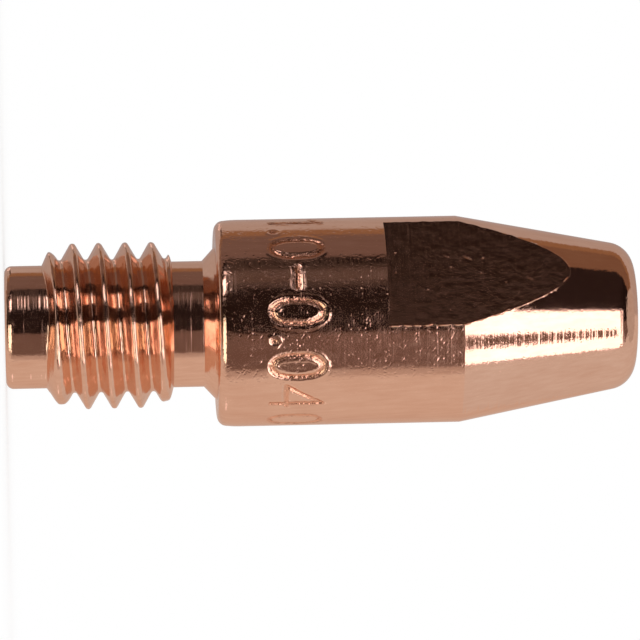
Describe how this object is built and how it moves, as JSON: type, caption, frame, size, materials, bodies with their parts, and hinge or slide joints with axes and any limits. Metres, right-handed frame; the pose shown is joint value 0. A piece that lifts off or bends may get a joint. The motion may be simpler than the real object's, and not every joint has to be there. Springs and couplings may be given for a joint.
{
  "type": "welding contact tip",
  "caption": "Turned copper contact tip for a wire-fed welding torch, with a threaded shank, spanner flats, a tapered nose and a wire bore right through.",
  "frame": {"origin": "centre of the rear face, on the wire bore's axis", "axes": "+Z along the wire bore, from the threaded rear end to the nose; the two spanner flats face +Y and -Y"},
  "size_m": [0.0098, 0.0098, 0.03],
  "materials": {
    "copper": "bright turned copper, with fine turning marks and handling scratches"
  },
  "bodies": {
    "root": {"contact_tip": "copper"}
  },
  "joints": []
}
